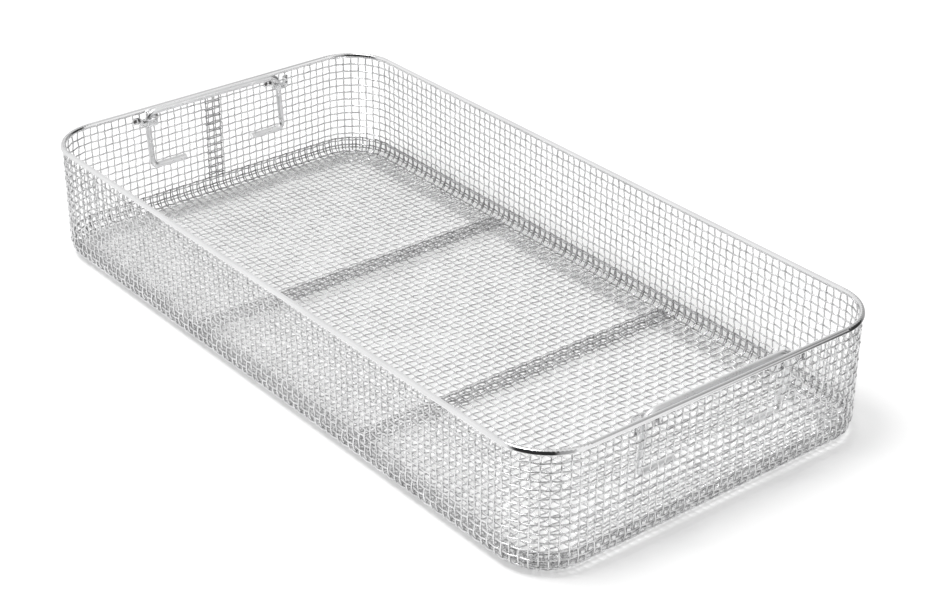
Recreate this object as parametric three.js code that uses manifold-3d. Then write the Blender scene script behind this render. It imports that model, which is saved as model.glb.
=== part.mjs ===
import * as THREE from 'three';
import Module from 'manifold-3d';
import { mergeVertices } from 'three/addons/utils/BufferGeometryUtils.js';

// Wire mesh instrument basket: a flat-bottomed tray of woven wire with a folded rim
// profile round its top edge and a lift-up drop handle at each short end.
// Millimetres, +Z up, +X along the long side. The origin is on the standing surface,
// in the middle of the base.

// Whole basket, measured over the rim profile.
const basketLength = 485;
const basketWidth = 250;
const rimTopHeight = 76;
const rimCornerRadius = 33.6;

// Mesh sheet: two crossing wires thick.
const meshThickness = 1.6;
const fitClearance = 0.3;

// Rim profile, an inverted channel over the top edge of the mesh.
const rimWidth = 3.2;
const rimDepth = 3;
const rimRoof = 0.9;
const rimEdgeRadius = 1.2;

// Bottom edge: the mesh turns in through this radius and ends in a flat lip under the floor.
const baseBendRadius = 10;
const baseLipWidth = 8;

// Floor: its underside above the standing surface, and the room between its edge and the
// round inside of the bend that it is seated in.
const floorHeight = 3.6;
const floorEdgeGap = 0.6;

// Coarse grid that stands for the weave.
const netPitch = 25.5;
const netBar = 3;
const wallTopBar = 12;
const cornerNetPitch = 23;
const bandPitch = 35.5;

// Doubled strips of mesh on the floor and over the joint of the wall.
const stripWidth = 12;
const stripSpacing = 160;
const stripEndInset = 6;
const seamWidth = 12;

// Drop handle, one bent wire.
const handleWire = 4;
const legSpacing = 102;
const handleRimGap = 0.8;
const gripBendRadius = 7;
const gripRise = 0.4;
const handleHeight = 36.7;
const footBendRadius = 4;
const footLength = 25;
const legLean = 2.9;
const leanDrop = 14;

// Guide clip, a saddle of strip round each leg, below the rim.
const clipInnerWidth = 10;
const clipSheet = 0.9;
const clipHeight = 4.6;
const clipReach = 9.5;
const clipDrop = 1.8;
const clipBendRadius = 3.6;

const cornerSteps = 8;
const bendSteps = 5;
const lapBendSteps = 2;
const wireSides = 8;
const archPlaceShares = [0.33, 0.67];
const archRiseShares = [0.56, 0.89];

// Derived sizes. The centre line runs down the middle of the mesh and of the rim.
const halfLength = (basketLength - rimWidth) / 2;
const halfWidth = (basketWidth - rimWidth) / 2;
const lineRadius = rimCornerRadius - rimWidth / 2;
const halfMesh = meshThickness / 2;
const bendLineRadius = baseBendRadius - halfMesh;
const grooveHalf = halfMesh + fitClearance;
const rimBottom = rimTopHeight - rimDepth;
const meshTop = rimTopHeight - rimRoof - fitClearance;
const wallBottom = baseBendRadius + fitClearance;
const flatHalfLength = halfLength - lineRadius;
const flatHalfWidth = halfWidth - lineRadius;
const bendInside = baseBendRadius - meshThickness;
const floorInset = baseBendRadius + floorEdgeGap
  - Math.sqrt(Math.max(bendInside ** 2 - (baseBendRadius - floorHeight) ** 2, 0));
const stripBottom = floorHeight + meshThickness + fitClearance;
const clipTop = rimBottom - clipDrop;
const clipBottom = clipTop - clipHeight;
const clipEndPlane = halfLength - halfMesh - fitClearance;
const legPlane = basketLength / 2 - rimWidth - handleRimGap - handleWire / 2;

const wasm = await Module();
wasm.setup();

// Surface colours of bright stainless steel.
const meshSteel = { color: 0xcfd1d3, roughness: 0.38, metalness: 1 };
const lapSteel = { color: 0xb9bbbe, roughness: 0.42, metalness: 1 };
const rimSteel = { color: 0xe3e4e6, roughness: 0.18, metalness: 1 };
const wireSteel = { color: 0xa9abae, roughness: 0.22, metalness: 1 };
const clipSteel = { color: 0xd8d9db, roughness: 0.25, metalness: 1 };

function named(name, geometry, look) {
  const mesh = new THREE.Mesh(geometry, new THREE.MeshStandardMaterial({ ...look, flatShading: true }));
  mesh.name = name;
  return mesh;
}

// Turns every face round if the closed surface encloses a negative volume.
function facingOut(vertices, triangles) {
  let volume = 0;
  for (const [a, b, c] of triangles) {
    const [p, q, r] = [vertices[a], vertices[b], vertices[c]];
    volume += p.dot(new THREE.Vector3().crossVectors(q, r));
  }
  const ordered = volume < 0 ? triangles.map(([a, b, c]) => [a, c, b]) : triangles;
  const used = new Map();
  const points = [];
  const index = [];
  for (const triangle of ordered) {
    for (const corner of triangle) {
      if (!used.has(corner)) {
        used.set(corner, used.size);
        points.push(vertices[corner].x, vertices[corner].y, vertices[corner].z);
      }
      index.push(used.get(corner));
    }
  }
  const geometry = new THREE.BufferGeometry();
  geometry.setAttribute('position', new THREE.Float32BufferAttribute(points, 3));
  geometry.setIndex(index);
  geometry.computeVertexNormals();
  return geometry;
}

// The closed centre line, with the outward direction at each point.
function roundedLine(halfX, halfY, radius) {
  const line = [];
  const centres = [[1, 1], [-1, 1], [-1, -1], [1, -1]];
  centres.forEach(([sideX, sideY], corner) => {
    for (let step = 0; step <= cornerSteps; step++) {
      const angle = (corner + step / cornerSteps) * Math.PI / 2;
      const normal = new THREE.Vector2(Math.cos(angle), Math.sin(angle));
      const x = sideX * (halfX - radius) + normal.x * radius;
      const y = sideY * (halfY - radius) + normal.y * radius;
      line.push({ x, y, normal });
    }
  });
  return line;
}

// Carries a closed section (outward, height) once round a closed line.
function ringSolid(line, section) {
  const vertices = [];
  const triangles = [];
  const count = section.length;
  for (const { x, y, normal } of line) {
    for (const [out, height] of section) {
      vertices.push(new THREE.Vector3(x + normal.x * out, y + normal.y * out, height));
    }
  }
  for (let i = 0; i < line.length; i++) {
    const next = (i + 1) % line.length;
    for (let j = 0; j < count; j++) {
      const after = (j + 1) % count;
      const [a, b] = [i * count + j, next * count + j];
      const [c, d] = [next * count + after, i * count + after];
      triangles.push([a, b, c], [a, c, d]);
    }
  }
  return facingOut(vertices, triangles);
}

function arcPoints(centreOut, centreHeight, radius, fromAngle, toAngle, steps) {
  const points = [];
  for (let step = 0; step <= steps; step++) {
    const angle = fromAngle + (toAngle - fromAngle) * step / steps;
    points.push([centreOut + radius * Math.cos(angle), centreHeight + radius * Math.sin(angle)]);
  }
  return points;
}

// Bars and openings in turn along one direction, starting and ending with a bar.
function netEdges(start, end, firstBar, lastBar, openings, splits) {
  const opening = (end - start - firstBar - lastBar - netBar * (openings - 1)) / openings;
  const edges = [start, start + firstBar];
  const open = [false];
  for (let i = 0; i < openings; i++) {
    const from = edges[edges.length - 1];
    for (let part = 1; part <= splits; part++) {
      edges.push(from + opening * part / splits);
      open.push(true);
    }
    edges.push(i === openings - 1 ? end : from + opening + netBar);
    open.push(false);
  }
  return { edges, open };
}

// A sheet with rectangular openings, placed by place(along, outward, height). A closed
// sheet runs on from its last column to its first.
function netSolid(columns, rows, place, keptOpen = () => true, closed = false) {
  const vertices = [];
  const triangles = [];
  const [wide, high] = [columns.edges.length, rows.edges.length];
  for (const out of [-halfMesh, halfMesh]) {
    for (const along of columns.edges) {
      for (const height of rows.edges) vertices.push(place(along, out, height));
    }
  }
  const cells = closed ? wide : wide - 1;
  const at = (face, i, j) => (face * wide + i % wide) * high + j;
  const solid = (column, j) => {
    const i = closed ? (column + wide) % wide : column;
    if (i < 0 || j < 0 || i >= cells || j >= high - 1) return false;
    return !(columns.open[i] && rows.open[j] && keptOpen(i, j));
  };
  const quad = (a, b, c, d) => triangles.push([a, b, c], [a, c, d]);
  for (let i = 0; i < cells; i++) {
    for (let j = 0; j < high - 1; j++) {
      if (!solid(i, j)) continue;
      quad(at(1, i, j), at(1, i + 1, j), at(1, i + 1, j + 1), at(1, i, j + 1));
      quad(at(0, i, j), at(0, i, j + 1), at(0, i + 1, j + 1), at(0, i + 1, j));
      if (!solid(i - 1, j)) quad(at(0, i, j), at(1, i, j), at(1, i, j + 1), at(0, i, j + 1));
      if (!solid(i + 1, j)) {
        quad(at(0, i + 1, j), at(0, i + 1, j + 1), at(1, i + 1, j + 1), at(1, i + 1, j));
      }
      if (!solid(i, j - 1)) quad(at(0, i, j), at(0, i + 1, j), at(1, i + 1, j), at(1, i, j));
      if (!solid(i, j + 1)) {
        quad(at(0, i, j + 1), at(1, i, j + 1), at(1, i + 1, j + 1), at(0, i + 1, j + 1));
      }
    }
  }
  return facingOut(vertices, triangles);
}

function openingCount(length, pitch) {
  return Math.max(1, Math.round(length / pitch));
}

function wallRows() {
  const openHeight = meshTop - wallBottom - wallTopBar;
  return netEdges(wallBottom, meshTop, netBar, wallTopBar, openingCount(openHeight, netPitch), 1);
}

function flatWall(halfFlat, place) {
  const half = halfFlat - fitClearance / 2;
  const openings = 2 * openingCount(half, netPitch);
  return netSolid(netEdges(-half, half, netBar, netBar, openings, 1), wallRows(), place);
}

function longWall(side) {
  return flatWall(flatHalfLength, (along, out, height) =>
    new THREE.Vector3(along, side * (halfWidth + out), height));
}

function shortWall(side) {
  return flatWall(flatHalfWidth, (along, out, height) =>
    new THREE.Vector3(side * (halfLength + out), along, height));
}

function cornerWall(sideX, sideY) {
  const arcLength = lineRadius * Math.PI / 2;
  const end = arcLength - fitClearance / 2;
  const openings = openingCount(arcLength, cornerNetPitch);
  const columns = netEdges(fitClearance / 2, end, netBar, netBar, openings, Math.ceil(cornerSteps / 3));
  return netSolid(columns, wallRows(), (along, out, height) => {
    const angle = along / lineRadius;
    const x = halfLength - lineRadius + (lineRadius + out) * Math.cos(angle);
    const y = halfWidth - lineRadius + (lineRadius + out) * Math.sin(angle);
    return new THREE.Vector3(sideX * x, sideY * y, height);
  });
}

// Stations round the closed centre line, each a point with its outward direction: a bend
// and then a straight side, four times.
function bandColumns() {
  const edges = [];
  const open = [];
  const add = (columns, station) => columns.open.forEach((isOpen, i) => {
    edges.push(station(columns.edges[i]));
    open.push(isOpen);
  });
  const bendLength = lineRadius * Math.PI / 2;
  const bendColumns = netEdges(
    0, bendLength, netBar, netBar, openingCount(bendLength, cornerNetPitch),
    Math.ceil(cornerSteps / 3));
  const centres = [[1, 1], [-1, 1], [-1, -1], [1, -1]];
  centres.forEach(([sideX, sideY], quarter) => {
    const start = quarter * Math.PI / 2;
    add(bendColumns, (along) => {
      const angle = start + along / lineRadius;
      const normal = new THREE.Vector2(Math.cos(angle), Math.sin(angle));
      const x = sideX * flatHalfLength + normal.x * lineRadius;
      const y = sideY * flatHalfWidth + normal.y * lineRadius;
      return { x, y, normal };
    });
    const long = quarter % 2 === 0;
    const half = long ? flatHalfLength : flatHalfWidth;
    const distance = long ? halfWidth : halfLength;
    const angle = start + Math.PI / 2;
    const normal = new THREE.Vector2(Math.cos(angle), Math.sin(angle));
    const openings = 2 * openingCount(half, bandPitch);
    add(netEdges(-half, half, netBar, netBar, openings, 1), (along) => {
      const x = normal.x * distance - normal.y * along;
      const y = normal.y * distance + normal.x * along;
      return { x, y, normal };
    });
  });
  return { edges, open };
}

// The bottom edge of the mesh: a doubled strip, then openings round the bend, then the
// border of the lip that the basket stands on.
function baseLapBand() {
  const bendLength = bendLineRadius * Math.PI / 2;
  const bend = Array.from({ length: bendSteps + 1 }, (_, step) => bendLength * step / bendSteps);
  const lipEnd = bendLength + baseLipWidth;
  const edges = [...bend, lipEnd - netBar, lipEnd];
  const open = edges.slice(1).map((_, row) => row >= lapBendSteps && row < edges.length - 2);
  return netSolid(bandColumns(), { edges, open }, ({ x, y, normal }, out, down) => {
    const angle = Math.min(down, bendLength) / bendLineRadius;
    const turned = bendLineRadius + out;
    const inward = Math.max(down - bendLength, 0);
    const outward = turned * Math.cos(angle) - bendLineRadius - inward;
    const height = baseBendRadius - turned * Math.sin(angle);
    return new THREE.Vector3(x + normal.x * outward, y + normal.y * outward, height);
  }, () => true, true);
}

function rimProfile() {
  const outside = rimWidth / 2;
  const curve = outside - rimEdgeRadius;
  const grooveTop = rimTopHeight - rimRoof;
  const shoulder = rimTopHeight - rimEdgeRadius;
  const section = [
    [-outside, rimBottom], [-grooveHalf, rimBottom], [-grooveHalf, grooveTop],
    [grooveHalf, grooveTop], [grooveHalf, rimBottom], [outside, rimBottom],
    ...arcPoints(curve, shoulder, rimEdgeRadius, 0, Math.PI / 2, 3),
    ...arcPoints(-curve, shoulder, rimEdgeRadius, Math.PI / 2, Math.PI, 3),
  ];
  return ringSolid(roundedLine(halfLength, halfWidth, lineRadius), section);
}

function toManifold(geometry) {
  const bare = geometry.clone();
  bare.deleteAttribute('normal');
  bare.deleteAttribute('uv');
  const merged = mergeVertices(bare);
  const vertProperties = new Float32Array(merged.attributes.position.array);
  const triVerts = new Uint32Array(merged.index.array);
  return new wasm.Manifold(new wasm.Mesh({ numProp: 3, vertProperties, triVerts }));
}

function fromManifold(solid) {
  const { numProp, vertProperties, triVerts } = solid.getMesh();
  const geometry = new THREE.BufferGeometry();
  const points = [];
  for (let i = 0; i < vertProperties.length; i += numProp) {
    points.push(vertProperties[i], vertProperties[i + 1], vertProperties[i + 2]);
  }
  geometry.setAttribute('position', new THREE.Float32BufferAttribute(points, 3));
  geometry.setIndex([...triVerts]);
  geometry.computeVertexNormals();
  return geometry;
}

// A flat net with rounded corners, seated by its edge in the bend of the walls.
function floorNet() {
  const halfX = halfLength + halfMesh - floorInset;
  const halfY = halfWidth + halfMesh - floorInset;
  const radius = lineRadius + halfMesh - floorInset;
  const edges = (half) => netEdges(
    -half, half, netBar, netBar, openingCount(2 * half, netPitch), 1);
  const [columns, rows] = [edges(halfX), edges(halfY)];
  const clear = (x, y) => {
    const beyondX = Math.abs(x) - (halfX - radius);
    const beyondY = Math.abs(y) - (halfY - radius);
    if (beyondX <= 0 || beyondY <= 0) return true;
    return Math.hypot(beyondX, beyondY) <= radius - netBar / 2;
  };
  const keptOpen = (i, j) => [i, i + 1].every((column) => [j, j + 1].every((row) =>
    clear(columns.edges[column], rows.edges[row])));
  const net = netSolid(columns, rows, (along, out, across) =>
    new THREE.Vector3(along, across, floorHeight + halfMesh + out), keptOpen);
  const outline = roundedLine(halfX, halfY, radius);
  const shape = new THREE.Shape(outline.map(({ x, y }) => new THREE.Vector2(x, y)));
  const plate = new THREE.ExtrudeGeometry(shape, { depth: 3 * meshThickness, bevelEnabled: false });
  plate.translate(0, 0, floorHeight - meshThickness);
  return fromManifold(toManifold(net).intersect(toManifold(plate)));
}

// Doubled mesh across the floor, on top of it, between the bends of the long walls.
function floorStrip(side) {
  const span = 2 * (halfWidth + halfMesh - stripEndInset);
  const geometry = new THREE.BoxGeometry(stripWidth, span, meshThickness);
  geometry.translate(side * stripSpacing / 2, 0, stripBottom + halfMesh);
  return geometry;
}

// The two ends of the wall mesh overlap in the middle of the left end.
function seamLap() {
  const top = rimBottom - fitClearance;
  const height = top - wallBottom;
  const geometry = new THREE.BoxGeometry(meshThickness, seamWidth, height);
  const plane = halfLength - halfMesh - fitClearance - meshThickness / 2;
  geometry.translate(-plane, 0, wallBottom + height / 2);
  return geometry;
}

// A path with one ring of the wire at each of its own points.
class WirePath extends THREE.Curve {
  constructor(points) {
    super();
    this.points = points;
  }

  getPoint(t, target = new THREE.Vector3()) {
    const last = this.points.length - 1;
    const place = Math.min(Math.max(t, 0), 1) * last;
    const i = Math.min(Math.floor(place), last - 1);
    return target.copy(this.points[i]).lerp(this.points[i + 1], place - i);
  }

  getPointAt(t, target) {
    return this.getPoint(t, target);
  }

  getTangentAt(t, target) {
    return this.getTangent(t, target);
  }
}

// Where the bend of the resting handle bears on the inner upper edge of the clip.
function restingGripHeight() {
  const reach = gripBendRadius - handleWire / 2 - fitClearance;
  const across = gripBendRadius - clipInnerWidth / 2;
  const rise = Math.sqrt(Math.max(reach * reach - across * across, 0));
  return clipTop - rise + gripBendRadius;
}

function handleSolid() {
  const legY = legSpacing / 2;
  const gripZ = restingGripHeight();
  const footZ = gripZ - handleHeight;
  const footPlane = legPlane - legLean;
  const half = [];
  const add = (x, y, z) => half.push(new THREE.Vector3(x, y, z));
  add(footPlane, legY - footLength, footZ);
  const foot = arcPoints(
    legY - footBendRadius, footZ + footBendRadius, footBendRadius, -Math.PI / 2, 0, 4);
  for (const [y, z] of foot) add(footPlane, y, z);
  add(legPlane, legY, gripZ - leanDrop);
  const grip = arcPoints(
    legY - gripBendRadius, gripZ - gripBendRadius, gripBendRadius, 0, Math.PI / 2, 5);
  for (const [y, z] of grip) add(legPlane, y, z);
  const straight = legY - gripBendRadius;
  archPlaceShares.forEach((share, i) => {
    add(legPlane, straight * (1 - share), gripZ + gripRise * archRiseShares[i]);
  });
  const middle = new THREE.Vector3(legPlane, 0, gripZ + gripRise);
  const other = half.map(({ x, y, z }) => new THREE.Vector3(x, -y, z)).reverse();
  const points = [...half, middle, ...other];
  const circle = [];
  for (let side = 0; side < wireSides; side++) {
    const angle = (side + 1 / 2) * 2 * Math.PI / wireSides;
    const radius = handleWire / 2;
    circle.push(new THREE.Vector2(radius * Math.cos(angle), radius * Math.sin(angle)));
  }
  return new THREE.ExtrudeGeometry(new THREE.Shape(circle), {
    steps: points.length - 1,
    extrudePath: new WirePath(points),
  });
}

// A strip bent to a U in plan, open towards the wall.
function clipSolid(side) {
  const outerHalf = clipInnerWidth / 2 + clipSheet;
  const near = clipEndPlane;
  const far = clipEndPlane - clipReach;
  const outerBend = clipBendRadius + clipSheet;
  const innerHalf = clipInnerWidth / 2;
  const innerFar = far + clipSheet;
  const shape = new THREE.Shape();
  shape.moveTo(near, -outerHalf);
  shape.lineTo(near, -innerHalf);
  shape.lineTo(innerFar + clipBendRadius, -innerHalf);
  shape.absarc(
    innerFar + clipBendRadius, -innerHalf + clipBendRadius, clipBendRadius,
    -Math.PI / 2, -Math.PI, true);
  shape.lineTo(innerFar, innerHalf - clipBendRadius);
  shape.absarc(
    innerFar + clipBendRadius, innerHalf - clipBendRadius, clipBendRadius,
    Math.PI, Math.PI / 2, true);
  shape.lineTo(near, innerHalf);
  shape.lineTo(near, outerHalf);
  shape.lineTo(far + outerBend, outerHalf);
  shape.absarc(far + outerBend, outerHalf - outerBend, outerBend, Math.PI / 2, Math.PI, false);
  shape.lineTo(far, -outerHalf + outerBend);
  shape.absarc(
    far + outerBend, -outerHalf + outerBend, outerBend, Math.PI, 3 * Math.PI / 2, false);
  const geometry = new THREE.ExtrudeGeometry(shape, {
    depth: clipHeight, bevelEnabled: false, curveSegments: 4,
  });
  geometry.translate(0, side * legSpacing / 2, clipBottom);
  return geometry;
}

const basket = new THREE.Group();

const walls = new THREE.Group();
walls.add(named('wall_mesh_front', longWall(-1), meshSteel));
walls.add(named('wall_mesh_back', longWall(1), meshSteel));
walls.add(named('wall_mesh_left', shortWall(-1), meshSteel));
walls.add(named('wall_mesh_right', shortWall(1), meshSteel));
walls.add(named('wall_corner_front_left', cornerWall(-1, -1), meshSteel));
walls.add(named('wall_corner_front_right', cornerWall(1, -1), meshSteel));
walls.add(named('wall_corner_back_left', cornerWall(-1, 1), meshSteel));
walls.add(named('wall_corner_back_right', cornerWall(1, 1), meshSteel));
walls.add(named('wall_seam_lap', seamLap(), lapSteel));
walls.add(named('base_lap_band', baseLapBand(), lapSteel));
basket.add(walls);

basket.add(named('floor_mesh', floorNet(), meshSteel));
basket.add(named('floor_strip_left', floorStrip(-1), lapSteel));
basket.add(named('floor_strip_right', floorStrip(1), lapSteel));
basket.add(named('rim_profile', rimProfile(), rimSteel));

// Both ends are alike: the left one is the right one turned half round.
for (const end of ['right', 'left']) {
  const group = new THREE.Group();
  const front = end === 'right' ? -1 : 1;
  group.add(named('handle_' + end, handleSolid(), wireSteel));
  group.add(named('clip_' + end + '_front', clipSolid(front), clipSteel));
  group.add(named('clip_' + end + '_back', clipSolid(-front), clipSteel));
  if (end === 'left') group.rotation.z = Math.PI;
  basket.add(group);
}

export default basket;
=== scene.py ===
import math

import bmesh
import bpy
from mathutils import Matrix, Quaternion, Vector


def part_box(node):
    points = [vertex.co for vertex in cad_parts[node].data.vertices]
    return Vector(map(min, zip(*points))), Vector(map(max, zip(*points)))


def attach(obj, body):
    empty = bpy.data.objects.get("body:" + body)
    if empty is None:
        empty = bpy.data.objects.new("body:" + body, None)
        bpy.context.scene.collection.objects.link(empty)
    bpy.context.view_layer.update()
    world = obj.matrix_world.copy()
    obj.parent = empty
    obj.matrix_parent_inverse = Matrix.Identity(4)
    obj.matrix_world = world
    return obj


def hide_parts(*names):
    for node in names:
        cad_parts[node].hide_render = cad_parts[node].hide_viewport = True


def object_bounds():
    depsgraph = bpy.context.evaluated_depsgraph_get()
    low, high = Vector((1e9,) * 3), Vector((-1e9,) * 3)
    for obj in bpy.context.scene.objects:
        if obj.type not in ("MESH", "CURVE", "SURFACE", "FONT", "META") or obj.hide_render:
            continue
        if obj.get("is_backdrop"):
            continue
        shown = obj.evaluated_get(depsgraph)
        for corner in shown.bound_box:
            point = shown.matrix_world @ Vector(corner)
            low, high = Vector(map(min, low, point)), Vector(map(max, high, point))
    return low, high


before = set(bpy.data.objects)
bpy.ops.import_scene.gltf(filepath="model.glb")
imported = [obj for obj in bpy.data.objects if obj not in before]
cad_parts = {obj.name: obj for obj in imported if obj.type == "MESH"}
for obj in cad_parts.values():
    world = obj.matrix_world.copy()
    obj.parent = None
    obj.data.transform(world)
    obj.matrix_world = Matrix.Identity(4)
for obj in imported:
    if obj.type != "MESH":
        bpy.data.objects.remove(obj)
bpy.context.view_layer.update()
print("frame loaded:", len(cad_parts), "nodes")


# Camera, from the photograph's viewing angle.
shot = {
    "place": (0.883578, -0.685693, 0.631708),
    "target": (-0.0041, 0.030572, 0.008015),
    "roll": 0.34,
    "lens": 81.77,
    "sensor": 36.0,
}
bpy.ops.object.camera_add(location=shot["place"])
photoCamera = bpy.context.object
photoCamera.name = "photoCamera"
sight = Vector(shot["target"]) - Vector(shot["place"])
tilt = Quaternion((0, 0, 1), math.radians(shot["roll"]))
photoCamera.rotation_euler = (sight.to_track_quat("-Z", "Y") @ tilt).to_euler()
photoCamera.data.lens = shot["lens"]
photoCamera.data.sensor_width = shot["sensor"]
bpy.context.scene.camera = photoCamera
bpy.context.scene.view_settings.view_transform = "Standard"
print("camera placed")


# Limits for picking corners, edges and faces, and the size of a plane that becomes a point.
near = {"same": 0.00001, "corner": 0.00002, "upright": 0.1, "seed": 0.001}


def clearSelection():
    if bpy.context.object and bpy.context.object.mode != "OBJECT":
        bpy.ops.object.mode_set(mode="OBJECT")
    bpy.ops.object.select_all(action="DESELECT")


def pickOnly(piece):
    clearSelection()
    piece.select_set(True)
    bpy.context.view_layer.objects.active = piece


def unpickedMesh(piece):
    mesh = bmesh.from_edit_mesh(piece.data)
    for part in (*mesh.faces, *mesh.edges, *mesh.verts):
        part.select = False
    return mesh


def pickEdges(piece, wanted):
    mesh = unpickedMesh(piece)
    for edge in mesh.edges:
        if wanted(edge):
            edge.select = True
    mesh.select_flush(True)
    bmesh.update_edit_mesh(piece.data)


def pickCorners(piece, wanted):
    mesh = unpickedMesh(piece)
    for corner in mesh.verts:
        corner.select = wanted(corner.co)
    bmesh.update_edit_mesh(piece.data)


def pickFaces(piece, wanted):
    mesh = unpickedMesh(piece)
    for face in mesh.faces:
        if wanted(face):
            face.select = True
    bmesh.update_edit_mesh(piece.data)


def shadeSmooth(piece, angle):
    pickOnly(piece)
    bpy.ops.object.shade_smooth_by_angle(angle=math.radians(angle))


def turnedCopy(piece, name, place):
    copy = piece.copy()
    copy.data = piece.data.copy()
    copy.data.transform(place)
    copy.name = copy.data.name = name
    bpy.context.collection.objects.link(copy)
    return copy


def joinPieces(name, pieces):
    clearSelection()
    for piece in pieces:
        piece.select_set(True)
    bpy.context.view_layer.objects.active = pieces[0]
    bpy.ops.object.join()
    joined = bpy.context.object
    joined.name = joined.data.name = name
    return joined


# Draws a thin line of straight stretches, starting from one point, and stays in edit mode.
def drawLine(name, corners):
    clearSelection()
    bpy.ops.mesh.primitive_plane_add(size=near["seed"], location=corners[0])
    line = bpy.context.object
    line.name = name
    bpy.ops.object.transform_apply(location=True, rotation=True, scale=True)
    bpy.ops.object.mode_set(mode="EDIT")
    bpy.ops.mesh.select_all(action="SELECT")
    bpy.ops.mesh.merge(type="CENTER")
    for start, end in zip(corners, corners[1:]):
        bpy.ops.mesh.extrude_region_move(TRANSFORM_OT_translate={"value": end - start})
    return line


def roundCorners(line, corners, offset, segments):
    pickCorners(
        line, lambda co: any((co - corner).length < near["corner"] for corner in corners))
    bpy.ops.mesh.bevel(offset=offset, segments=segments, affect="VERTICES")


# Bright stainless steel: cloudy tone, uneven polish and a fine drawn surface.
steelTexture = {
    "from": 0.3, "to": 0.7, "cloudDetail": 4.0, "polishDetail": 3.0, "grainDetail": 2.0,
}


def rangeOf(nodes, links, value, low, high):
    mapped = nodes.new("ShaderNodeMapRange")
    mapped.inputs["From Min"].default_value = low
    mapped.inputs["From Max"].default_value = high
    links.new(value, mapped.inputs["Value"])
    return mapped


def stainless(name, look):
    finish = bpy.data.materials.new(name)
    finish.use_nodes = True
    nodes, links = finish.node_tree.nodes, finish.node_tree.links
    surface = nodes["Principled BSDF"]
    surface.inputs["Metallic"].default_value = 1.0
    where = nodes.new("ShaderNodeTexCoord")

    def noiseOf(scale, detail):
        noise = nodes.new("ShaderNodeTexNoise")
        noise.inputs["Scale"].default_value = scale
        noise.inputs["Detail"].default_value = detail
        links.new(where.outputs["Object"], noise.inputs["Vector"])
        return noise.outputs["Fac"]

    tone = nodes.new("ShaderNodeValToRGB")
    dark, light = tone.color_ramp.elements
    dark.position, light.position = steelTexture["from"], steelTexture["to"]
    dark.color, light.color = (*look["darkTone"], 1.0), (*look["lightTone"], 1.0)
    cloud = noiseOf(look["cloudScale"], steelTexture["cloudDetail"])
    links.new(cloud, tone.inputs["Fac"])
    links.new(tone.outputs["Color"], surface.inputs["Base Color"])

    polish = noiseOf(look["polishScale"], steelTexture["polishDetail"])
    gloss = rangeOf(nodes, links, polish, steelTexture["from"], steelTexture["to"])
    gloss.inputs["To Min"].default_value = look["smoothest"]
    gloss.inputs["To Max"].default_value = look["roughest"]
    links.new(gloss.outputs["Result"], surface.inputs["Roughness"])

    relief = nodes.new("ShaderNodeBump")
    relief.inputs["Strength"].default_value = look["grainStrength"]
    relief.inputs["Distance"].default_value = look["grainDepth"]
    grain = noiseOf(look["grainScale"], steelTexture["grainDetail"])
    links.new(grain, relief.inputs["Height"])
    links.new(relief.outputs["Normal"], surface.inputs["Normal"])
    return finish


meshWireLook = {
    "darkTone": (0.67, 0.67, 0.675), "lightTone": (0.87, 0.87, 0.875),
    "cloudScale": 90.0, "polishScale": 400.0, "smoothest": 0.16, "roughest": 0.32,
    "grainScale": 2500.0, "grainStrength": 0.25, "grainDepth": 0.00004,
}
# Darker copy of the wire steel for the doubled strips and seam: painted shade where two
# layers lie over each other.
lapWirePaintedShadeLook = dict(
    meshWireLook, darkTone=(0.44, 0.44, 0.445), lightTone=(0.62, 0.62, 0.625))
# Darker copy of the wire steel for the turned-up edge: painted shade where it laps the wall
# mesh.
edgeWirePaintedShadeLook = dict(
    meshWireLook, darkTone=(0.42, 0.42, 0.425), lightTone=(0.6, 0.6, 0.605))
rimLook = {
    "darkTone": (0.8, 0.8, 0.805), "lightTone": (0.88, 0.88, 0.885),
    "cloudScale": 25.0, "polishScale": 150.0, "smoothest": 0.07, "roughest": 0.13,
    "grainScale": 1800.0, "grainStrength": 0.12, "grainDepth": 0.00002,
}
handleLook = {
    "darkTone": (0.84, 0.84, 0.845), "lightTone": (0.92, 0.92, 0.925),
    "cloudScale": 60.0, "polishScale": 250.0, "smoothest": 0.25, "roughest": 0.34,
    "grainScale": 2000.0, "grainStrength": 0.2, "grainDepth": 0.00003,
}
clipLook = {
    "darkTone": (0.72, 0.72, 0.725), "lightTone": (0.86, 0.86, 0.865),
    "cloudScale": 80.0, "polishScale": 300.0, "smoothest": 0.14, "roughest": 0.26,
    "grainScale": 2200.0, "grainStrength": 0.2, "grainDepth": 0.00003,
}
# The weld spots are coloured near black, far darker than the clips' steel.
darkSpotLook = dict(
    clipLook, darkTone=(0.1, 0.098, 0.096), lightTone=(0.22, 0.215, 0.21),
    smoothest=0.35, roughest=0.55)
meshWireSteel = stainless("meshWireSteel", meshWireLook)
lapWirePaintedShadeSteel = stainless("lapWirePaintedShadeSteel", lapWirePaintedShadeLook)
edgeWirePaintedShadeSteel = stainless("edgeWirePaintedShadeSteel", edgeWirePaintedShadeLook)
rimSteel = stainless("rimSteel", rimLook)
handleSteel = stainless("handleSteel", handleLook)
clipSteel = stainless("clipSteel", clipLook)
weldSteel = stainless("weldSteel", darkSpotLook)
print("steel finishes made")


def dress(piece, finish, body):
    piece.data.materials.clear()
    piece.data.materials.append(finish)
    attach(piece, body)


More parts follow.
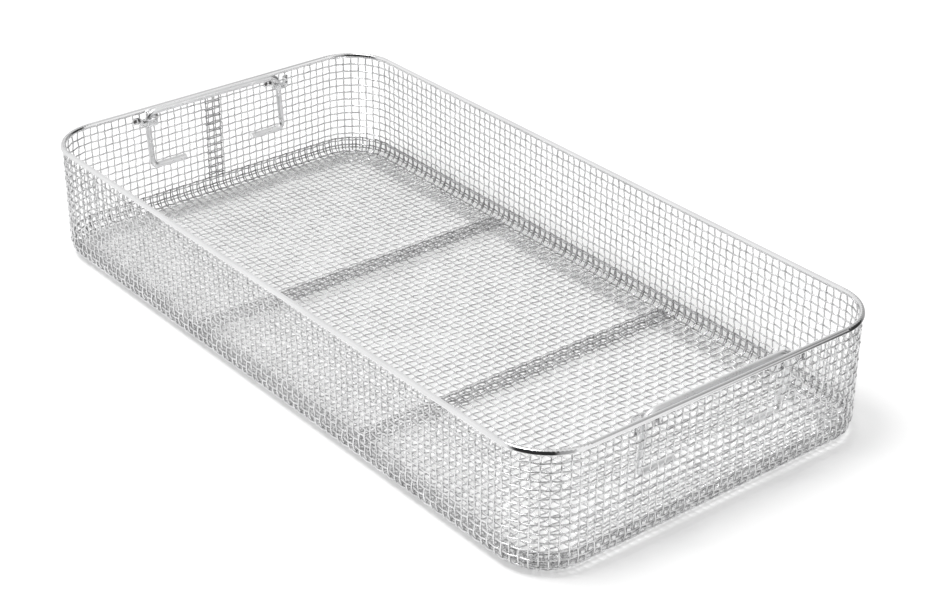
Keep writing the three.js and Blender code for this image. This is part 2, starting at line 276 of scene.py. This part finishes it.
# Draws each run as one round wire and joins them in one mesh.
def drawWires(name, runs, radius, closed=False):
    drawing = bpy.data.curves.new(name, "CURVE")
    drawing.dimensions = "3D"
    drawing.bevel_depth = radius
    drawing.bevel_resolution = weave["roundness"]
    drawing.use_fill_caps = not closed
    for run in runs:
        spline = drawing.splines.new("POLY")
        spline.points.add(len(run) - 1)
        spline.points.foreach_set("co", [value for point in run for value in (*point, 1.0)])
        spline.use_cyclic_u = closed
    piece = bpy.data.objects.new(name, drawing)
    bpy.context.collection.objects.link(piece)
    pickOnly(piece)
    bpy.ops.object.convert(target="MESH")
    piece = bpy.context.object
    piece.name = piece.data.name = name
    return piece


# Plain weave: at each crossing one wire passes over and the other under.
weave = {
    "pitch": 0.0052, "wire": 0.001, "crimp": 0.00042, "endDrop": 0.0001, "roundness": 1,
}
wireRadius = weave["wire"] / 2


def overUnder(first, second):
    return weave["crimp"] if (first + second) % 2 == 0 else -weave["crimp"]


# Wall outline: the rim and the wall mesh follow the same rounded line.
rimLow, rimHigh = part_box("rim_profile")
wall = {"rimWidth": 0.0032, "cornerRadius": 0.032, "uprights": 270}
lineHalfX = rimHigh.x - wall["rimWidth"] / 2
lineHalfY = rimHigh.y - wall["rimWidth"] / 2
flatX = lineHalfX - wall["cornerRadius"]
flatY = lineHalfY - wall["cornerRadius"]
cornerArc = wall["cornerRadius"] * math.pi / 2
outlineLength = 4 * (flatX + flatY + cornerArc)
uprightStep = outlineLength / wall["uprights"]


# Point on the outline and the direction outwards there, from the middle of the left end.
def outlinePoint(distance):
    stretches = [
        (flatY, (-lineHalfX, 0), (0, -1)),
        (cornerArc, (-flatX, -flatY), 180),
        (2 * flatX, (-flatX, -lineHalfY), (1, 0)),
        (cornerArc, (flatX, -flatY), 270),
        (2 * flatY, (lineHalfX, -flatY), (0, 1)),
        (cornerArc, (flatX, flatY), 0),
        (2 * flatX, (flatX, lineHalfY), (-1, 0)),
        (cornerArc, (-flatX, flatY), 90),
        (flatY, (-lineHalfX, flatY), (0, -1)),
    ]
    distance %= outlineLength
    for length, start, way in stretches:
        if distance <= length:
            break
        distance -= length
    if isinstance(way, tuple):
        place = Vector((start[0] + way[0] * distance, start[1] + way[1] * distance, 0))
        return place, Vector((way[1], -way[0], 0))
    angle = math.radians(way) + distance / wall["cornerRadius"]
    outwards = Vector((math.cos(angle), math.sin(angle), 0))
    return Vector((*start, 0)) + outwards * wall["cornerRadius"], outwards


# Sheets that stand on the outline, each given by its section from the top edge down:
# a straight stretch, then a quarter turn inwards, then flat to the end.
floorLow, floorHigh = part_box("floor_mesh")
floorMiddle = (floorLow.z + floorHigh.z) / 2
wallSheet = {
    "top": 0.0748, "straight": 0.0648, "bendRadius": 0.00907, "inset": 0.0,
    "end": 0.08685, "firstRing": 0.0018, "rings": 17, "shift": 0.5,
}
turnedEdge = {
    "top": 0.0137, "bendRadius": 0.0045, "bendLength": 0.00707, "inset": 0.00175,
    "firstRing": 0.0005, "rings": 3, "shift": 0.0,
}
turnedEdge["straight"] = turnedEdge["top"] - floorMiddle - turnedEdge["bendRadius"]
turnedEdge["end"] = turnedEdge["straight"] + turnedEdge["bendLength"]


def sheetSection(sheet, down):
    if down < sheet["straight"]:
        return Vector((-sheet["inset"], 0, sheet["top"] - down)), Vector((1, 0, 0))
    turn = (down - sheet["straight"]) / sheet["bendRadius"]
    centre = Vector((
        -sheet["inset"] - sheet["bendRadius"], 0, sheet["top"] - sheet["straight"]))
    if turn < math.pi / 2:
        outwards = Vector((math.cos(turn), 0, -math.sin(turn)))
        return centre + outwards * sheet["bendRadius"], outwards
    along = down - sheet["straight"] - sheet["bendRadius"] * math.pi / 2
    return centre + Vector((-along, 0, -sheet["bendRadius"])), Vector((0, 0, -1))


def uprightRun(sheet, parity):
    run = [sheetSection(sheet, weave["endDrop"])[0]]
    for k in range(sheet["rings"]):
        drop = sheet["firstRing"] + weave["pitch"] * k
        place, outwards = sheetSection(sheet, drop)
        run.append(place + outwards * overUnder(parity, k))
        if k + 1 < sheet["rings"]:
            run.append(sheetSection(sheet, drop + weave["pitch"] / 2)[0])
    run.append(sheetSection(sheet, sheet["end"])[0])
    return run


def weaveUprights(name, sheet):
    upright = [
        drawWires("upright%d" % k, [uprightRun(sheet, k)], wireRadius) for k in (0, 1)]
    standing = []
    for i in range(wall["uprights"]):
        place, outwards = outlinePoint((i + sheet["shift"]) * uprightStep)
        turn = Matrix.Rotation(math.atan2(outwards.y, outwards.x), 4, "Z")
        move = Matrix.Translation(place) @ turn
        standing.append(turnedCopy(upright[i % 2], "standing%03d" % i, move))
    piece = joinPieces(name, standing)
    for wire in upright:
        bpy.data.objects.remove(wire)
    return piece


def weaveRings(name, sheet):
    runs = []
    for k in range(sheet["rings"]):
        section, sectionOut = sheetSection(sheet, sheet["firstRing"] + weave["pitch"] * k)
        run = []
        for i in range(wall["uprights"]):
            place, outwards = outlinePoint((i + sheet["shift"]) * uprightStep)
            lift = -overUnder(i, k)
            out = section.x + sectionOut.x * lift
            height = section.z + sectionOut.z * lift
            run.append(place + outwards * out + Vector((0, 0, height)))
            middle, middleOut = outlinePoint((i + sheet["shift"] + 0.5) * uprightStep)
            run.append(middle + middleOut * section.x + Vector((0, 0, section.z)))
        runs.append(run)
    return drawWires(name, runs, wireRadius, closed=True)


wallNodes = [
    "wall_mesh_front", "wall_mesh_back", "wall_mesh_left", "wall_mesh_right",
    "wall_corner_front_left", "wall_corner_front_right",
    "wall_corner_back_left", "wall_corner_back_right", "base_lap_band",
]
for piece in (
    weaveUprights("wallMeshUprights", wallSheet), weaveRings("wallMeshRings", wallSheet),
):
    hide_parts(*wallNodes)
    dress(piece, meshWireSteel, "basket")
print("wall mesh woven")

# The edge of the floor sheet is turned up inside the wall, where the two are lapped.
for piece in (
    weaveUprights("turnedEdgeUprights", turnedEdge),
    weaveRings("turnedEdgeRings", turnedEdge),
):
    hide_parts("base_lap_band")
    # The turned-up edge gets the darker steel, which paints the shade where it laps the
    # wall.
    dress(piece, edgeWirePaintedShadeSteel, "basket")
print("lapped edge woven")


# Floor mesh: flat wires up to the bend of the turned-up edge. A wire's end keeps a little
# way from its last crossing, and a long stretch gets one more point halfway a mesh.
floorMesh = {
    "endGap": 0.0001, "leastEnd": 0.0006, "longShare": 0.6, "shiftX": 0.5, "shiftY": 0.0,
}
floorHalfX, floorHalfY, floorCornerRadius = (
    length - turnedEdge["inset"] - turnedEdge["bendRadius"]
    for length in (lineHalfX, lineHalfY, wall["cornerRadius"]))
floorHalfX -= floorMesh["endGap"]
floorHalfY -= floorMesh["endGap"]


# Numbered crossings of one direction that lie within a length to both sides.
def crossings(half, shift):
    last = int(half / weave["pitch"]) + 1
    places = [(i, (i + shift) * weave["pitch"]) for i in range(-last - 1, last + 1)]
    return [(i, along) for i, along in places if abs(along) < half]


def floorReach(across, halfAcross, halfAlong):
    beyond = abs(across) - (halfAcross - floorCornerRadius)
    if beyond <= 0:
        return halfAlong
    return halfAlong - floorCornerRadius + math.sqrt(floorCornerRadius ** 2 - beyond ** 2)


def floorWire(reach, shift, liftAt):
    longStretch = weave["pitch"] * floorMesh["longShare"]
    stops = [(-reach, 0.0)]
    for i, along in crossings(reach - floorMesh["leastEnd"], shift):
        if along - stops[-1][0] > longStretch:
            stops.append((along - weave["pitch"] / 2, 0.0))
        stops.append((along, liftAt(i)))
    if reach - stops[-1][0] > longStretch:
        stops.append((stops[-1][0] + weave["pitch"] / 2, 0.0))
    stops.append((reach, 0.0))
    return stops


longRuns, crossRuns = [], []
for j, across in crossings(floorHalfY - wireRadius, floorMesh["shiftY"]):
    reach = floorReach(across, floorHalfY, floorHalfX)
    longRuns.append([(along, across, floorMiddle + lift) for along, lift in floorWire(
        reach, floorMesh["shiftX"], lambda i: overUnder(i, j))])
for i, across in crossings(floorHalfX - wireRadius, floorMesh["shiftX"]):
    reach = floorReach(across, floorHalfX, floorHalfY)
    crossRuns.append([(across, along, floorMiddle + lift) for along, lift in floorWire(
        reach, floorMesh["shiftY"], lambda j: -overUnder(i, j))])
for name, runs in (("floorMeshLong", longRuns), ("floorMeshCross", crossRuns)):
    piece = drawWires(name, runs, wireRadius)
    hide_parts("floor_mesh")
    dress(piece, meshWireSteel, "basket")
print("floor mesh woven")


# Doubled strips and seam: three long wires with short ones across.
strip = {"longWires": (-1, 0, 1), "halfWidth": 0.0058, "crossShare": 0.999}


def stripRuns(low, high, place):
    pitch = weave["pitch"]
    count = int((high - low - 2 * wireRadius) / pitch)
    first = (low + high - (count - 1) * pitch) / 2
    runs = []
    for j in strip["longWires"]:
        run = [place(low + wireRadius, j * pitch, 0.0)]
        for i in range(count):
            run.append(place(first + i * pitch, j * pitch, overUnder(i, j)))
            if i + 1 < count:
                run.append(place(first + (i + 0.5) * pitch, j * pitch, 0.0))
        run.append(place(high - wireRadius, j * pitch, 0.0))
        runs.append(run)
    for i in range(count):
        along = first + i * pitch
        run = [place(along, -strip["halfWidth"], 0.0)]
        for j in strip["longWires"]:
            run.append(place(along, j * pitch * strip["crossShare"], -overUnder(i, j)))
        run.append(place(along, strip["halfWidth"], 0.0))
        runs.append(run)
    return runs


for name, node in (
    ("floorStripLeft", "floor_strip_left"), ("floorStripRight", "floor_strip_right"),
):
    low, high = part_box(node)
    middle = (low + high) / 2
    piece = drawWires(name, stripRuns(
        low.y, high.y,
        lambda along, across, lift: (middle.x + across, along, middle.z + lift)), wireRadius)
    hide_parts(node)
    # The strips get the darker steel, which paints the shade of the doubled layers.
    dress(piece, lapWirePaintedShadeSteel, "basket")

low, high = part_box("wall_seam_lap")
middle = (low + high) / 2
seamLap = drawWires("seamLap", stripRuns(
    low.z, high.z,
    lambda along, across, lift: (middle.x + lift, across, along)), wireRadius)
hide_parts("wall_seam_lap")
# The seam gets the darker steel, which paints the shade of the doubled layers.
dress(seamLap, lapWirePaintedShadeSteel, "basket")
print("strips and seam made")


# Rim: a flat ring, folded down over the mesh on both sides and rounded on top.
rimProfile = {
    "cornerRadius": 0.0336,
    "cornerSegments": 24,
    "depth": 0.0024,
    "roundShare": 0.93,
    "edgeSegments": 9,
    "sheet": 0.0005,
    "grooveDepth": 0.0014,
    "smoothAngle": 35,
}
halfRimWidth = wall["rimWidth"] / 2
clearSelection()
bpy.ops.mesh.primitive_plane_add(size=1.0, location=(0, 0, rimHigh.z))
rim = bpy.context.object
rim.name = rim.data.name = "rim"
rim.scale = (rimHigh.x - rimLow.x, rimHigh.y - rimLow.y, 1.0)
bpy.ops.object.transform_apply(location=True, rotation=True, scale=True)
bpy.ops.object.mode_set(mode="EDIT")
bpy.ops.mesh.select_all(action="SELECT")
bpy.ops.mesh.bevel(
    offset=rimProfile["cornerRadius"], segments=rimProfile["cornerSegments"],
    affect="VERTICES")
bpy.ops.mesh.select_all(action="SELECT")
bpy.ops.mesh.inset(thickness=wall["rimWidth"])
bpy.ops.mesh.delete(type="FACE")
bpy.ops.mesh.select_all(action="SELECT")
bpy.ops.mesh.extrude_region_move(TRANSFORM_OT_translate={"value": (0, 0, -halfRimWidth)})
bpy.ops.mesh.select_all(action="SELECT")
bpy.ops.mesh.normals_make_consistent(inside=False)


def upperRimEdge(edge):
    heights = [corner.co.z > rimHigh.z - near["same"] for corner in edge.verts]
    upright = [abs(face.normal.z) < near["upright"] for face in edge.link_faces]
    return all(heights) and any(upright) and not all(upright)


def rimUnderside(face):
    lowest = rimHigh.z - rimProfile["depth"] + near["same"]
    return all(corner.co.z < lowest for corner in face.verts)


pickEdges(rim, upperRimEdge)
bpy.ops.mesh.bevel(
    offset=halfRimWidth * rimProfile["roundShare"], segments=rimProfile["edgeSegments"],
    affect="EDGES")
bpy.ops.mesh.select_all(action="SELECT")
bpy.ops.transform.resize(
    value=(1, 1, rimProfile["depth"] / halfRimWidth), center_override=(0, 0, rimHigh.z))
pickFaces(rim, rimUnderside)
bpy.ops.mesh.inset(thickness=rimProfile["sheet"], use_boundary=True)
bpy.ops.mesh.extrude_region_move(
    TRANSFORM_OT_translate={"value": (0, 0, rimProfile["grooveDepth"])})
bpy.ops.object.mode_set(mode="OBJECT")
shadeSmooth(rim, rimProfile["smoothAngle"])
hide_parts("rim_profile")
dress(rim, rimSteel, "basket")
print("rim folded")


# Handle: one straight wire path, bent at its corners, then given its thickness.
handle = {
    "wire": 0.004,
    "legSpacing": 0.102,
    "plane": 0.2365,
    "gripHeight": 0.073947,
    "gripRise": 0.0004,
    "archPlaces": (0.67, 0.33),
    "archRises": (0.56, 0.89),
    "height": 0.0367,
    "lean": 0.0029,
    "leanDrop": 0.014,
    "leanBend": 0.002,
    "footLength": 0.025,
    "gripBend": 0.007,
    "footBend": 0.004,
    "bendSegments": 8,
    "roundness": 6,
    "endRound": 0.0006,
    "endSegments": 3,
    "smoothAngle": 40,
}


# Half of the path from foot to grip, mirrored for the other half: places with their bends.
def handlePath():
    plane = handle["plane"]
    legY = handle["legSpacing"] / 2
    gripZ = handle["gripHeight"]
    footZ = gripZ - handle["height"]
    footX = plane - handle["lean"]
    straight = legY - handle["gripBend"]
    half = [
        ((footX, legY - handle["footLength"], footZ), 0),
        ((footX, legY, footZ), handle["footBend"]),
        ((plane, legY, gripZ - handle["leanDrop"]), handle["leanBend"]),
        ((plane, legY, gripZ), handle["gripBend"]),
    ]
    for place, rise in zip(handle["archPlaces"], handle["archRises"]):
        half.append(((plane, straight * place, gripZ + handle["gripRise"] * rise), 0))
    other = [((x, -y, z), bend) for (x, y, z), bend in reversed(half)]
    return half + [((plane, 0.0, gripZ + handle["gripRise"]), 0)] + other


def bendWire(name, path):
    corners = [Vector(place) for place, bend in path]
    wire = drawLine(name, corners)
    for i, (place, bend) in enumerate(path):
        if not bend:
            continue
        before = (corners[i] - corners[i - 1]).normalized()
        after = (corners[i + 1] - corners[i]).normalized()
        offset = bend * math.tan(before.angle(after) / 2)
        roundCorners(wire, [corners[i]], offset, handle["bendSegments"])
    bpy.ops.object.mode_set(mode="OBJECT")
    pickOnly(wire)
    bpy.ops.object.convert(target="CURVE")
    wire = bpy.context.object
    wire.data.bevel_depth = handle["wire"] / 2
    wire.data.bevel_resolution = handle["roundness"]
    wire.data.use_fill_caps = True
    bpy.ops.object.convert(target="MESH")
    wire = bpy.context.object
    wire.name = wire.data.name = name
    bpy.ops.object.mode_set(mode="EDIT")
    bpy.ops.mesh.select_all(action="SELECT")
    bpy.ops.mesh.remove_doubles(threshold=near["same"])
    pickEdges(wire, lambda edge: any(len(face.verts) > 4 for face in edge.link_faces))
    bpy.ops.mesh.bevel(
        offset=handle["endRound"], segments=handle["endSegments"], affect="EDGES")
    bpy.ops.mesh.select_all(action="SELECT")
    bpy.ops.mesh.normals_make_consistent(inside=False)
    bpy.ops.object.mode_set(mode="OBJECT")
    shadeSmooth(wire, handle["smoothAngle"])
    return wire


halfTurn = Matrix.Rotation(math.pi, 4, "Z")
handleRight = bendWire("dropHandleRight", handlePath())
handleLeft = turnedCopy(handleRight, "dropHandleLeft", halfTurn)
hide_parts("handle_right")
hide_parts("handle_left")
dress(handleRight, handleSteel, "drop_handle_right")
dress(handleLeft, handleSteel, "drop_handle_left")
print("handles bent")


# Guide clip: a strip bent to a U round each handle leg, its flared ears welded to the mesh.
clip = {
    "sheet": 0.0009,
    "bend": 0.0036,
    "earBend": 0.0009,
    "bendSegments": 6,
    "earLength": 0.0042,
    "earGap": 0.0003,
    "edge": 0.00012,
    "edgeSegments": 2,
    "smoothAngle": 35,
}
clipLow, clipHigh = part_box("clip_right_front")
clipMiddle = (clipLow + clipHigh) / 2
halfSheet = clip["sheet"] / 2
earX = clipHigh.x - clip["earGap"]
sideY = (clipHigh.y - clipLow.y) / 2 - halfSheet
earY = sideY + clip["earLength"]
frontX = clipLow.x + halfSheet
clipCorners = [
    Vector((x, clipMiddle.y + y, clipLow.z)) for x, y in (
        (earX, -earY), (earX, -sideY), (frontX, -sideY),
        (frontX, sideY), (earX, sideY), (earX, earY))
]
guideClip = drawLine("guideClip", clipCorners)
for first, last, radius in ((1, 4, clip["earBend"]), (2, 3, clip["bend"])):
    roundCorners(
        guideClip, [clipCorners[first], clipCorners[last]], radius + halfSheet,
        clip["bendSegments"])
bpy.ops.mesh.select_all(action="SELECT")
bpy.ops.mesh.extrude_region_move(
    TRANSFORM_OT_translate={"value": (0, 0, clipHigh.z - clipLow.z)})
bpy.ops.mesh.select_all(action="SELECT")
bpy.ops.mesh.normals_make_consistent(inside=False)
bpy.ops.object.mode_set(mode="OBJECT")
pickOnly(guideClip)
sheet = guideClip.modifiers.new("sheet", "SOLIDIFY")
sheet.thickness = clip["sheet"]
sheet.offset = 0.0
sheet.use_even_offset = True
soften = guideClip.modifiers.new("soften", "BEVEL")
soften.width = clip["edge"]
soften.segments = clip["edgeSegments"]
soften.limit_method = "ANGLE"
bpy.ops.object.modifier_apply(modifier="sheet")
bpy.ops.object.modifier_apply(modifier="soften")
shadeSmooth(guideClip, clip["smoothAngle"])

toBack = Matrix.Translation((0, -2 * clipMiddle.y, 0))
clipPlaces = (
    ("clipRightFront", "clip_right_front", Matrix.Identity(4)),
    ("clipRightBack", "clip_right_back", toBack),
    ("clipLeftBack", "clip_left_back", halfTurn),
    ("clipLeftFront", "clip_left_front", halfTurn @ toBack),
)
for name, node, place in clipPlaces:
    piece = turnedCopy(guideClip, name, place)
    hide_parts(node)
    dress(piece, clipSteel, "basket")
bpy.data.objects.remove(guideClip)

# Weld spots: a flattened one on each ear, coloured near black.
weld = {
    "radius": 0.0013, "flatness": 0.35, "earShare": 0.6, "segments": 16, "rings": 8,
    "smoothAngle": 60,
}
welds = []
for side in (-1, 1):
    spotY = clipMiddle.y + side * (sideY + clip["earLength"] * weld["earShare"])
    clearSelection()
    bpy.ops.mesh.primitive_uv_sphere_add(
        segments=weld["segments"], ring_count=weld["rings"], radius=weld["radius"],
        location=(earX - halfSheet, spotY, clipMiddle.z), scale=(weld["flatness"], 1, 1))
    spot = bpy.context.object
    bpy.ops.object.transform_apply(location=True, rotation=True, scale=True)
    for name, node, place in clipPlaces:
        welds.append(turnedCopy(spot, name.replace("clip", "weld"), place))
    bpy.data.objects.remove(spot)
clipWelds = joinPieces("clipWelds", welds)
shadeSmooth(clipWelds, weld["smoothAngle"])
dress(clipWelds, weldSteel, "basket")
print("clips bent and welded")


# White studio: pale floor, white all round, one soft lamp from the left of the camera.
# The metal reflects tones by heading in degrees, low and high in the room.
studio = {
    "ambient": 0.51,
    "background": 1.0,
    "tableEdge": (0.15, 0.19),
    "reflectedLow": (
        (-180, 0.88), (-150, 0.95), (-142, 1.0), (-108, 1.0), (-92, 0.03), (-26, 0.03),
        (-18, 0.35), (4, 0.45), (12, 1.0), (38, 1.0), (46, 0.04), (80, 0.04),
        (90, 0.4), (120, 0.5), (130, 0.88), (180, 0.88),
    ),
    "reflectedHigh": (
        (-180, 0.88), (-150, 0.95), (-108, 1.0), (-92, 0.06), (-26, 0.06), (-14, 0.5),
        (12, 1.0), (38, 1.0), (50, 0.5), (120, 0.55), (130, 0.88), (180, 0.88),
    ),
    "middle": (0.45, 0.7),
    "top": (0.82, 0.97),
    "overhead": 0.88,
    "floorTone": 0.86,
    "floorLift": 0.27,
    "floorRoughness": 0.9,
    "floorSize": 14.0,
    "lampWay": (-0.14, -0.29, 0.95),
    "lampDistance": 3.0,
    "lampSize": 1.4,
    "lampPower": 52.0,
}
white = (1.0, 1.0, 1.0, 1.0)


# 1 for the kinds of ray that are named, and 0 for others.
def seenBy(nodes, links, *kinds):
    path = nodes.new("ShaderNodeLightPath")
    seen = path.outputs[kinds[0]]
    for kind in kinds[1:]:
        either = nodes.new("ShaderNodeMath")
        either.operation = "MAXIMUM"
        links.new(seen, either.inputs[0])
        links.new(path.outputs[kind], either.inputs[1])
        seen = either.outputs[0]
    return seen


room = bpy.data.worlds.new("studioRoom")
bpy.context.scene.world = room
room.use_nodes = True
nodes, links = room.node_tree.nodes, room.node_tree.links
glow = nodes["Background"]
glow.inputs["Color"].default_value = white

way = nodes.new("ShaderNodeTexCoord")
split = nodes.new("ShaderNodeSeparateXYZ")
links.new(way.outputs["Generated"], split.inputs["Vector"])
heading = nodes.new("ShaderNodeMath")
heading.operation = "ARCTAN2"
links.new(split.outputs["Y"], heading.inputs[0])
links.new(split.outputs["X"], heading.inputs[1])
share = rangeOf(nodes, links, heading.outputs[0], -math.pi, math.pi)


def toneAround(tones):
    around = nodes.new("ShaderNodeValToRGB")
    stops = around.color_ramp.elements
    while len(stops) < len(tones):
        stops.new(1.0)
    for stop, (angle, tone) in zip(stops, tones):
        stop.position = (angle + 180) / 360
        stop.color = (tone, tone, tone, 1.0)
    links.new(share.outputs["Result"], around.inputs["Fac"])
    return around.outputs["Color"]


# Goes over from one tone to the next as the view rises between two heights.
def riseTo(lower, upper, heights):
    height = rangeOf(nodes, links, split.outputs["Z"], *heights)
    blend = nodes.new("ShaderNodeMix")
    links.new(height.outputs["Result"], blend.inputs["Factor"])
    links.new(lower, blend.inputs["A"])
    if isinstance(upper, float):
        blend.inputs["B"].default_value = upper
    else:
        links.new(upper, blend.inputs["B"])
    return blend.outputs["Result"]


lowTone = toneAround(studio["reflectedLow"])
highTone = toneAround(studio["reflectedHigh"])
sides = riseTo(lowTone, highTone, studio["middle"])
mirrored = riseTo(sides, studio["overhead"], studio["top"])
level = nodes.new("ShaderNodeMix")
level.inputs["A"].default_value = studio["ambient"]
links.new(seenBy(nodes, links, "Is Glossy Ray"), level.inputs["Factor"])
links.new(mirrored, level.inputs["B"])
final = nodes.new("ShaderNodeMix")
final.inputs["B"].default_value = studio["background"]
links.new(
    seenBy(nodes, links, "Is Camera Ray", "Is Transmission Ray"), final.inputs["Factor"])
links.new(level.outputs["Result"], final.inputs["A"])
links.new(final.outputs["Result"], glow.inputs["Strength"])

clearSelection()
bpy.ops.mesh.primitive_plane_add(size=studio["floorSize"], location=(0, 0, 0))
studioFloor = bpy.context.object
studioFloor.name = "studioFloor"
paper = bpy.data.materials.new("whitePaper")
paper.use_nodes = True
nodes, links = paper.node_tree.nodes, paper.node_tree.links
surface = nodes["Principled BSDF"]
surface.inputs["Base Color"].default_value = (*[studio["floorTone"]] * 3, 1.0)
surface.inputs["Roughness"].default_value = studio["floorRoughness"]
surface.inputs["Specular IOR Level"].default_value = 0.0
surface.inputs["Emission Color"].default_value = white
lift = nodes.new("ShaderNodeMath")
lift.operation = "MULTIPLY"
lift.inputs[1].default_value = studio["floorLift"]
links.new(
    seenBy(nodes, links, "Is Camera Ray", "Is Glossy Ray", "Is Transmission Ray"),
    lift.inputs[0])
links.new(lift.outputs[0], surface.inputs["Emission Strength"])

# In reflections the table ends a little way round the basket.
where = nodes.new("ShaderNodeTexCoord")
spot = where.outputs["Object"]
for operation, value in (
    ("ABSOLUTE", None), ("SUBTRACT", (flatX, flatY, 0)), ("MAXIMUM", (0, 0, 0)),
):
    step = nodes.new("ShaderNodeVectorMath")
    step.operation = operation
    links.new(spot, step.inputs[0])
    if value is not None:
        step.inputs[1].default_value = value
    spot = step.outputs["Vector"]
away = nodes.new("ShaderNodeVectorMath")
away.operation = "LENGTH"
links.new(spot, away.inputs[0])
edge = rangeOf(nodes, links, away.outputs["Value"], *studio["tableEdge"])
beyond = nodes.new("ShaderNodeMath")
beyond.operation = "MULTIPLY"
links.new(edge.outputs["Result"], beyond.inputs[0])
links.new(seenBy(nodes, links, "Is Glossy Ray"), beyond.inputs[1])
clear = nodes.new("ShaderNodeBsdfTransparent")
either = nodes.new("ShaderNodeMixShader")
links.new(beyond.outputs[0], either.inputs["Fac"])
links.new(surface.outputs["BSDF"], either.inputs[1])
links.new(clear.outputs["BSDF"], either.inputs[2])
links.new(either.outputs["Shader"], nodes["Material Output"].inputs["Surface"])
studioFloor.data.materials.append(paper)
studioFloor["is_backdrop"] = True

lampWay = Vector(studio["lampWay"]).normalized()
bpy.ops.object.light_add(type="AREA", location=lampWay * studio["lampDistance"])
softLamp = bpy.context.object
softLamp.name = "softLamp"
softLamp.data.shape = "DISK"
softLamp.data.size = studio["lampSize"]
softLamp.data.energy = studio["lampPower"]
softLamp.rotation_euler = (-lampWay).to_track_quat("-Z", "Y").to_euler()
softLamp.visible_camera = False
print("studio lit")


low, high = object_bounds()
